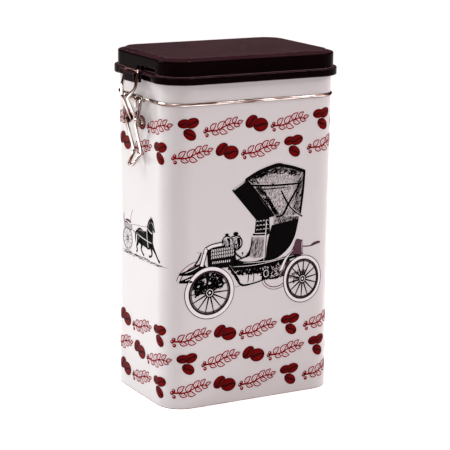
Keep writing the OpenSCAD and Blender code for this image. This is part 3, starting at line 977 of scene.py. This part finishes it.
# %% Hood
def hood():
    fill(grey, [(-6, 126), (2, 130.6), (12, 133), (23, 131), (31, 128.4)],
         [(10.6, 104), (13, 103.4), (16.5, 103.6), (23, 104.4), (28.4, 103.4)], 2, 10)
    hatch(black, [(-5, 126), (12, 132.6), (30, 128)], [(11, 105), (17, 104), (28, 104)],
          620, 1.7, 62, 0.17, 3, 22)
    hatch(paper, [(-3, 125), (10, 130), (24, 127)], [(9, 110), (15, 106), (24, 108)],
          360, 1.6, 56, 0.2, 4, 20)
    # Shade under the top edge and down the back
    hatch(black, [(-4, 127), (12, 132.8), (30, 128.6)], [(-2, 125), (13, 129.6), (28, 125.6)],
          160, 2, 75, 0.3, 4, 15)
    hatch(black, [(30.6, 128), (29.6, 116), (28.4, 104)], [(26.6, 122), (25, 112), (23, 105)],
          130, 2.4, 70, 0.3, 4, 14)
    fill(black, [(-15.2, 121.4), (-10.4, 124.2), (-6.2, 126.8)],
         [(0.2, 103.6), (5.4, 103.4), (11.4, 104.4)], 5, 6)
    draw(paper, [(-14, 121.6), (-10.2, 123.8), (-7, 125.8)], 0.45, 6)
    draw(black, [(-6.6, 126.2), (2, 130.2), (12, 132.9), (16.4, 133)], 2.3, 6, 0.9)
    draw(black, [(16, 133), (24, 130.8), (31.2, 128.2)], 1.9, 6, 0.9)
    draw(black, [(31, 128.8), (30, 116), (28.4, 103.2)], 1.5, 6, 0.8)
    draw(black, [(-5.2, 125.6), (3.8, 115), (11.8, 104.6)], 1, 6, 0.8)
    # Deep shade beside the flap and under the top edge
    hatch(black, [(-4, 126), (5, 115), (12.4, 105)], [(0.6, 126), (8.4, 115), (14.6, 106)],
          150, 3, 120, 0.45, 5, 10)
    hatch(black, [(-2, 128), (10, 131.6), (28, 128.4)], [(-2, 126.2), (10, 128.6), (26, 126.2)],
          110, 3.2, 14, 0.4, 5, 10)
    # Iron struts, each a dark bar with a bright upper edge
    draw(black, [(-4.4, 123.4), (10, 122.2), (27.6, 121.8)], 1.5, 6, 0.8)
    draw(paper, [(-3, 123.9), (10, 122.8), (26.6, 122.3)], 0.3, 7)
    draw(black, [(-2.6, 121.2), (8, 120.2), (22, 120.2)], 0.6, 6)
    draw(black, [(28.6, 122.2), (20.8, 110.4), (17.4, 104.8), (13, 103.8)], 1.3, 6, 0.8)
    draw(black, [(16, 118.6), (20.8, 110.4), (25, 106.4), (30, 102.6)], 1.1, 6, 0.8)
    draw(paper, [(21.6, 109.9), (25, 106.8), (29, 103.6)], 0.25, 7)
    black.lay(disc((10.6, 122.4), 0.9, 0.9, 12), 7)
    black.lay(disc((20.8, 110.4), 0.8, 0.8, 12), 7)


# %% [markdown]
# The body is a tub seat: black side panel with a bright bead, buttoned back, and a pale front below
# the cushion.


# %% Body and seat
def seat():
    fill(grey, [(11.4, 103.6), (16, 103.2), (22, 103.6), (28.2, 102.6)],
         [(11.6, 98.6), (16, 98.4), (22, 99.6), (27.4, 100.8)], 3)
    hatch(black, [(12, 103.4), (20, 103.4), (28, 102.4)], [(12, 99), (20, 99.4), (27, 101)],
          130, 2, 50, 0.3, 4)
    fill(black, [(10.4, 99.4), (8.6, 93), (7.4, 87), (6.6, 79)],
         [(27.8, 101.6), (26.6, 94), (22.6, 86), (14.2, 79.4)], 5, 8)
    fill(black, [(6.8, 81.4), (0.5, 80), (-7, 80.6), (-12, 82.4)],
         [(13.6, 79), (4, 76.6), (-6, 76.8), (-14.6, 78.6)], 4, 4)
    draw(paper, [(27.6, 99.6), (25.6, 91.4), (21.2, 84.6), (13.4, 79.8), (4, 79.2), (-7.5, 79.8)],
         0.34, 7)
    # Buttoned back between the posts
    fill(black, [(0.2, 103.6), (4, 103.8), (8.8, 103.8)], [(-0.6, 95.2), (4, 94.6), (9.4, 94.6)], 3)
    for column in range(4):
        for row in range(3):
            spot = (1.2 + 2.1 * column, 97.2 + 2.4 * row)
            hoop(paper, spot, 0.6, 0.8, 0.28, 5, 20, 160, 8)
    draw(paper, [(6.9, 103.2), (6.7, 98), (6.2, 90), (5.6, 79.6)], 0.4, 8)
    draw(black, [(7.5, 103.2), (7.3, 98), (6.8, 90), (6.2, 77)], 0.4, 8)
    # Cushion, armrest and the pale front of the seat box
    draw(black, [(-1.6, 95.4), (3, 95), (8, 94.8)], 1.3, 6, 0.9)
    draw(paper, [(-1.2, 95.9), (3, 95.5), (7.4, 95.3)], 0.35, 7)
    fill(grey, [(-1.8, 93.8), (1.6, 93.4), (5.8, 93.2)], [(-3.6, 82.8), (0.6, 81.6), (5, 82)],
         5)
    hatch(black, [(-1.6, 93), (2, 92.8), (5.4, 92.6)], [(-3, 83), (1, 82.2), (4.8, 82.6)],
          90, 2.6, 88, 0.2, 6, 6)
    draw(black, [(-2, 94.2), (-2.8, 88), (-5.6, 83.6), (-11.6, 81.8)], 0.9, 6)
    fill(black, [(-2.2, 90), (-3.4, 86), (-6.4, 83.2)], [(-3, 84), (-4.6, 83), (-8.4, 82.2)], 5)
    # Hand lever and pedal above the footboard
    bar(black, (-7.6, 82.4), (-8, 85), 0.175, 6)
    bar(black, (-5.4, 82.6), (-5, 85.4), 0.175, 6)
    black.lay(disc((-8, 85.4), 0.6, 0.6, 10), 6)


# %% [markdown]
# The nose of the car is a short box with a louvred side and a curved dash, a pair of brass lamps on
# top, and springs that reach forward past the wheel.


# %% Nose, lamps and springs
def nose_box():
    fill(black, [(-30.6, 91.2), (-24, 92), (-17.4, 92.8), (-13.2, 91.6)],
         [(-29.6, 79.8), (-24, 78.8), (-18, 78.4), (-11.6, 79.4)], 4, 6)
    fill(paper, [(-30.6, 90.8), (-27, 92), (-20, 92.6)],
         [(-29.4, 89.6), (-26.6, 90.6), (-20, 91.2)], 5)
    # Louvres: rows of short bright strokes
    for row in range(3):
        for column in range(13):
            low = np.array([-27.6 + 1.12 * column, 84.2 + 1.9 * row + 0.04 * column])
            bar(paper, low, low + (0.5, 1.45), 0.42, 6)
    for column in range(9):
        low = np.array([-26.8 + 1.3 * column, 81.4])
        bar(paper, low, low + (0.4, 1.2), 0.5, 6)
    draw(black, [(-13.6, 91.8), (-12.4, 86), (-8.4, 82.6)], 1, 6, 0.8)
    # Mudguard stay and steering rods at the front
    fill(paper, [(-31.6, 90.4), (-33, 86), (-34.6, 81)],
         [(-29.8, 89.4), (-31, 85.6), (-32.4, 80.4)], 5)
    draw(black, [(-31.8, 90.6), (-33.2, 86), (-34.8, 80.6)], 0.5, 6, 0.8)
    draw(black, [(-29.8, 89.8), (-31, 85.6), (-32.6, 80)], 0.6, 6, 0.8)
    draw(black, [(-31.6, 90.8), (-27, 92.4), (-19, 93.2)], 0.6, 6, 0.8)
    bar(black, (-36.4, 88.8), (-31.4, 87.8), 0.175, 6)
    # Two leaf springs with pointed ends
    for drop in (0, 4.3):
        fill(black, [(-46.8, 77.5 - drop), (-40, 80.2 - drop), (-32, 83.4 - drop)],
             [(-46.6, 76.4 - drop), (-40, 76.4 - drop), (-32, 77.6 - drop)], 4)
        draw(paper, [(-43.4, 77.8 - drop), (-39, 79.2 - drop), (-35, 80.8 - drop)], 0.35, 5)
    draw(black, [(-34, 83.4), (-31, 78), (-29, 72)], 2.2, 4, 0.8)
    draw(black, [(-33.8, 88.6), (-35.6, 84.6), (-38.4, 81.2)], 1, 6)


def lamp(x, z, size):
    """A brass lamp about its middle: a round body, a cap and a chimney, with bright strokes."""
    def about(*spots):
        return [(x + u * size, z + v * size) for u, v in spots]

    top = z + 3.6 * size
    black.lay(disc((x, z), 4.0 * size, 4.0 * size, 22), 5)
    cap = [(x - 2.6 * size, top), (x, top + 0.5), (x + 2.6 * size, top)]
    fill(black, cap, [(x + u * size, top - 2) for u in (-2, 0, 2)], 5)
    black.lay(disc((x, top + 1.2 * size), 1.5 * size, 1.0 * size, 12), 5)
    gleam = [(x - 2.2 * size, top - 0.9), (x, top - 0.5), (x + 2.2 * size, top - 0.9)]
    draw(paper, gleam, 0.4, 6)
    hatch(paper, about((-2.8, 2.2), (0.8, 2.6)), about((-2.6, -2.4), (1.2, -2.8)),
          46, 1.7 * size, 78, 0.38, 6, 10)
    draw(paper, [(x + 2.5 * size, z - 2), (x + 3.0 * size, z), (x + 2.5 * size, z + 2)], 0.35, 6)


def lamps():
    lamp(-18, 93, 0.8)
    lamp(-12.4, 91.6, 1.1)
    fill(black, [(-21.4, 91.4), (-16, 91.8), (-9.8, 92.2)],
         [(-20.6, 89.4), (-16, 89.6), (-10.4, 90.2)], 4)
    draw(black, [(-11.2, 92.4), (-10.4, 90.4), (-11.4, 88.2)], 1.1, 6)


# %% [markdown]
# Under the body lie the frame, the drive chain and a step, and behind it a tool box and a lever.


# %% Undercarriage, step and tail
def chassis():
    draw(black, [(-17, 77.8), (-4, 77), (10, 77.8), (27, 80.4)], 2.2, 4, 0.9)
    draw(paper, [(-14, 78.3), (-2, 77.8), (10, 78.6), (25, 80.6)], 0.3, 7)
    hatch(black, [(-15, 76.8), (-2, 76.4), (12, 76.8)], [(-14, 73.4), (0, 72.8), (12, 73)],
          230, 2.4, 40, 0.6, 3, 40)
    hatch(black, [(4, 77), (12, 78), (22, 79)], [(5, 69), (12, 68.6), (20, 70)],
          300, 3, 30, 0.75, 3, 50)
    hatch(plum, [(14, 76), (20, 77), (24, 77.6)], [(12, 69.6), (18, 70.4), (22, 72)],
          90, 2.2, 20, 0.5, 4, 50)
    hatch(paper, [(5, 76), (12, 77), (20, 77.6)], [(6, 70), (12, 69.6), (19, 71)],
          70, 1.6, 30, 0.24, 5, 50)
    # Step on two hangers, and the axle rod
    draw(black, [(-14.4, 76.6), (-11.4, 71), (-8, 67.2), (-1, 67.6), (5.6, 68.8)], 1.3, 5, 0.8)
    draw(paper, [(-7, 67.6), (-1, 68), (4.4, 69)], 0.28, 6)
    draw(black, [(-4.6, 76.4), (-4, 72), (-4.4, 68)], 0.6, 5)
    draw(black, [(-1.6, 76.4), (-0.6, 72), (-1, 68)], 0.5, 5)
    draw(black, [(-16.6, 79.6), (-12.6, 74), (-9.6, 69.4)], 1.1, 5)
    bar(paper, (-16.2, 79.4), (-12.4, 74.4), 0.0875, 6)
    bar(black, (-13.4, 66.6), (-9.4, 66.8), 0.14, 5)
    black.lay(disc((7.2, 72.2), 2.6, 3.2, 16), 5)
    hoop(paper, (7.2, 72.2), 1.5, 1.9, 0.35, 6, count=20)
    # Rear strut and springs
    fill(paper, [(25.8, 84.4), (21, 79.6), (17.6, 73)], [(24, 83.4), (19.2, 79.2), (15.6, 72.4)],
         6)
    draw(black, [(25.9, 84.6), (21.2, 79.8), (17.8, 72.8)], 0.4, 7)
    draw(black, [(23.8, 83.4), (19, 79.2), (15.4, 72.2)], 0.4, 7)
    draw(black, [(14.4, 79), (20, 80.2), (28, 80.4), (31, 78.6)], 1, 5)


def tail():
    fill(plum, [(22.4, 81.4), (25, 86.4), (26.6, 89.8), (30.6, 89)],
         [(22.6, 79.2), (25.4, 79.6), (28.4, 80), (31.2, 80.8)], 2, 5)
    draw(paper, [(30.2, 88.2), (30.4, 84), (30.6, 81.4)], 0.3, 4)
    draw(plum, [(30.6, 85.2), (34.6, 85), (37, 85.2)], 0.7, 3, 0.9)
    draw(plum, [(36, 85.2), (39.6, 86.4), (42.6, 86.6)], 1.7, 3, 0.3)


def motor_car():
    far_hoop((-35, 69.6), 13.6, 14.2, 95, 165)
    far_hoop((13.4, 71.4), 9.6, 9, 205, 345)
    for part in (tail, chassis, nose_box, lamps, seat, hood):
        part()
    # Axle gear shows dark behind the spokes
    hatch(black, [(-39, 70), (-34, 75), (-26, 76), (-20, 73)],
          [(-37, 64), (-32, 66), (-27, 67), (-20, 68)], 220, 3.2, 25, 0.7, 5, 45)
    wheel((-28.4, 65.2), 15.4, 14.9)
    hatch(plum, [(23, 70), (28, 72), (33, 71)], [(24, 64), (28, 66), (32, 67)],
          60, 2, 20, 0.4, 5, 50)
    wheel((31, 66.4), 12.5, 13.8, first=9)


for face in (0, ROUND / 2):
    Ink.origin = (face, 0)
    motor_car()
print("car strokes:", len(black.shapes), "black,", len(paper.shapes), "pale")

# %% [markdown]
# ### A horse and cart
# The narrow faces carry a trotting horse in harness with a light two-wheeled cart. The horse is a
# silhouette built from a few smooth patches, with the harness left pale. The cart is fine line.


# %% Horse and cart
def limb(points, widths, layer=2):
    line = smooth_line(points, 18)
    width = np.interp(np.linspace(0, 1, 18), np.linspace(0, 1, len(widths)), widths)
    black.lay(ribbon(line, width), layer)


def horse():
    fill(black, [(-3.6, 92.4), (-3, 95.6), (0.6, 97), (5, 96), (9.4, 97), (12.8, 97.8)],
         [(-3.6, 90.6), (-0.8, 88), (3, 87.6), (7, 87.2), (11.6, 86.8), (15.6, 90)], 2, 6)
    fill(black, [(8.6, 96.4), (9.4, 100.4), (11.4, 103.6), (13.6, 104.8)],
         [(16, 90.8), (16.4, 95), (16, 99.2), (15.8, 102.6)], 2, 5)
    limb([(12.8, 103.8), (15, 103), (16.6, 100.6), (18.2, 97.8)], (2.8, 3.6, 2.4, 1.6), 3)
    limb([(13.4, 104.6), (13.8, 106)], (0.9, 0.3))
    limb([(14.6, 104.4), (15.2, 105.6)], (0.8, 0.3))
    limb([(-3.4, 94.6), (-5.2, 93), (-5.6, 90), (-5, 87.6)], (1.6, 1.4, 1.2, 0.3))
    # Hind legs, then fore legs
    limb([(-2, 91), (-2.6, 88), (-4, 85.6), (-3.2, 83.8), (-4.2, 82.2)],
         (3.6, 2.4, 1.3, 1.1, 1.5))
    limb([(0.4, 90), (2.4, 87.4), (1.6, 85), (4.2, 82.6), (5.4, 82.2)], (3.4, 2.2, 1.2, 1.1, 1.5))
    limb([(13, 90), (14.6, 87.2), (15, 84.4), (12.8, 83), (11.4, 83.2)],
         (3.2, 2, 1.3, 1.1, 1.5))
    limb([(14.4, 91), (17, 88.4), (19.6, 86.2), (22.6, 83.4), (24.4, 82.2)],
         (3.4, 2.4, 1.5, 1.2, 1.6))
    # Harness in pale line, and grey modelling strokes in the coat
    draw(paper, [(8.8, 96.8), (9.2, 92), (10.6, 87.8)], 0.5, 4, 0.9)
    draw(paper, [(9.6, 98.4), (13, 97), (15.4, 96.6)], 0.45, 4, 0.9)
    draw(paper, [(-3.2, 92.8), (3, 91.8), (10, 91.2), (14.8, 91)], 0.4, 4)
    draw(paper, [(14.4, 102.8), (16.2, 101.8), (17.4, 99.8)], 0.3, 4)
    draw(grey, [(10.2, 98.6), (11.2, 101), (12.8, 103)], 0.3, 4, 0.2)
    draw(grey, [(-1.6, 95), (1.4, 95.8), (5, 95.2)], 0.3, 4, 0.2)
    draw(grey, [(-2, 89.6), (-1, 91.4), (0.8, 92.4)], 0.25, 4, 0.2)


def cart():
    c, rx, rz = (-15.6, 87.8), 6, 6.6
    for share, width in ((1, 0.3), (0.88, 0.3), (0.16, 0.5)):
        hoop(black, c, rx * share, rz * share, width, 1, count=36)
    spokes(c, rx, rz, np.arange(12) * 30, (0.1, 0.88), 0.26, 1, 3)
    fill(grey, [(-19.6, 97), (-15, 96.6), (-10.4, 96.4)],
         [(-18.8, 94), (-15, 93.8), (-11.2, 93.8)], 2)
    draw(black, [(-19.8, 97.2), (-18.8, 93.8), (-11, 93.6), (-10.2, 96.6)], 0.4, 3)
    draw(black, [(-20.4, 101.6), (-20, 97.2), (-15, 96.8)], 0.6, 3)
    draw(plum, [(-18.4, 98), (-14.6, 98.2), (-11.4, 97.4)], 1.3, 3)
    draw(black, [(-11, 94.2), (-5, 92.8), (2, 92.2), (9.4, 92)], 0.4, 3)
    draw(black, [(-10.8, 96.6), (-4, 97.6), (6, 98.6), (14, 101.6)], 0.2, 3)
    draw(black, [(-12.2, 97.4), (-11, 102), (-9, 105.4)], 0.22, 3)
    # Ground: a few long strokes and grass
    draw(black, [(-22.4, 79.8), (0, 80.6), (18, 80.4), (30.4, 80.2)], 0.25, 1)
    hatch(black, [(-21, 80.6), (0, 81.2), (29, 80.6)], [(-20, 78.6), (0, 79), (24, 79.6)],
          120, 2.4, 8, 0.2, 1, 14)


for face in (-ROUND / 4, ROUND / 4):
    Ink.origin = (face, 0)
    horse()
    cart()

# %% Print every ink
for ink in inks:
    ink.print_on("tin")

# %% [markdown]
# ## Floor, light and camera
# The tin stands on a plain pale floor. A large lamp on the left makes the narrow face the bright
# one, a weaker one on the right fills the front, and a small one gives the wires their sparks. They
# stand high, so that the lid's top doesn't mirror them in a low view, and their narrow spread keeps
# them off the floor. A soft sun overhead whitens the floor, and the room is a dim warm grey, which
# gives the wires and the lid's gloss something dark to mirror.


# %% Floor
def add_floor(half=6.0):
    mesh = bpy.data.meshes.new("floor")
    corners = [(-half, -half, 0), (half, -half, 0), (half, half, 0), (-half, half, 0)]
    mesh.from_pydata(corners, [], [(0, 1, 2, 3)])
    made = Finish("floor_paper", (0.9, 0.9, 0.9), Roughness=0.9)
    tone = made.ramp(made.noise(made.place(), 6, 3), 0.3, 0.7)
    made.shade(Base_Color=made.mix(tone, (0.9, 0.9, 0.9), (0.92, 0.92, 0.92)))
    mesh.materials.append(made.material)
    floor = bpy.data.objects.new("floor", mesh)
    bpy.context.scene.collection.objects.link(floor)


add_floor()


# %% Lights and room
def add_lamp(name, light, color, place=(0, 0, 0), turn=(0, 0, 0)):
    light.color = color
    lamp = bpy.data.objects.new(name, light)
    lamp.location, lamp.rotation_euler = place, turn
    bpy.context.scene.collection.objects.link(lamp)


def add_window(name, place, size, watts, color, spread):
    """A rectangular lamp that faces the middle of the tin; spread is in degrees."""
    light = bpy.data.lights.new(name, "AREA")
    light.shape, light.energy, light.spread = "RECTANGLE", watts, math.radians(spread)
    light.size, light.size_y = size
    toward = Vector((0, 0, TOTAL_H * MM / 2)) - Vector(place)
    add_lamp(name, light, color, place, toward.to_track_quat("-Z", "Y").to_euler())


add_window("window_left", (-1.3, 1.18, 1.2), (1.0, 0.9), 6.4, (0.93, 1.0, 0.99), 60)
add_window("fill_front", (1.5, -1.05, 1.4), (1.0, 0.9), 4.1, (1.0, 0.95, 0.96), 60)
add_window("spark", (-1.45, -0.85, 1.1), (0.05, 0.09), 4.5, (1.0, 1.0, 1.0), 180)
sun = bpy.data.lights.new("ceiling", "SUN")
sun.energy, sun.angle = 3.35, math.radians(70)
add_lamp("ceiling", sun, (1.0, 0.95, 0.95))
world = bpy.data.worlds.new("room")
world.use_nodes = True
background = world.node_tree.nodes["Background"].inputs
background["Color"].default_value = (0.40, 0.29, 0.30, 1)
background["Strength"].default_value = 0.42
bpy.context.scene.world = world
bpy.context.scene.view_settings.view_transform = "Standard"

# %% [markdown]
# The camera stands about a metre away, to the left and slightly above, with a long lens. It is
# given by where it stands and by three turns.

# %% Camera
CAMERA_PLACE, LENS = (-0.4780, -0.8680, 0.3201), 142.4
YAW, PITCH, ROLL = (math.radians(a) for a in (28.884, 12.904, 0.643))
camera_data = bpy.data.cameras.new("camera")
camera_data.lens, camera_data.sensor_width = LENS, 36
camera = bpy.data.objects.new("camera", camera_data)
flat = math.cos(PITCH)
ahead = Vector((math.sin(YAW) * flat, math.cos(YAW) * flat, -math.sin(PITCH)))
level = Vector((math.cos(YAW), -math.sin(YAW), 0))
upright = level.cross(ahead)
right = level * math.cos(ROLL) + upright * math.sin(ROLL)
up = upright * math.cos(ROLL) - level * math.sin(ROLL)
turn = Matrix((right, up, -ahead)).transposed().to_4x4()
camera.matrix_world = Matrix.Translation(CAMERA_PLACE) @ turn
bpy.context.scene.collection.objects.link(camera)
bpy.context.scene.camera = camera
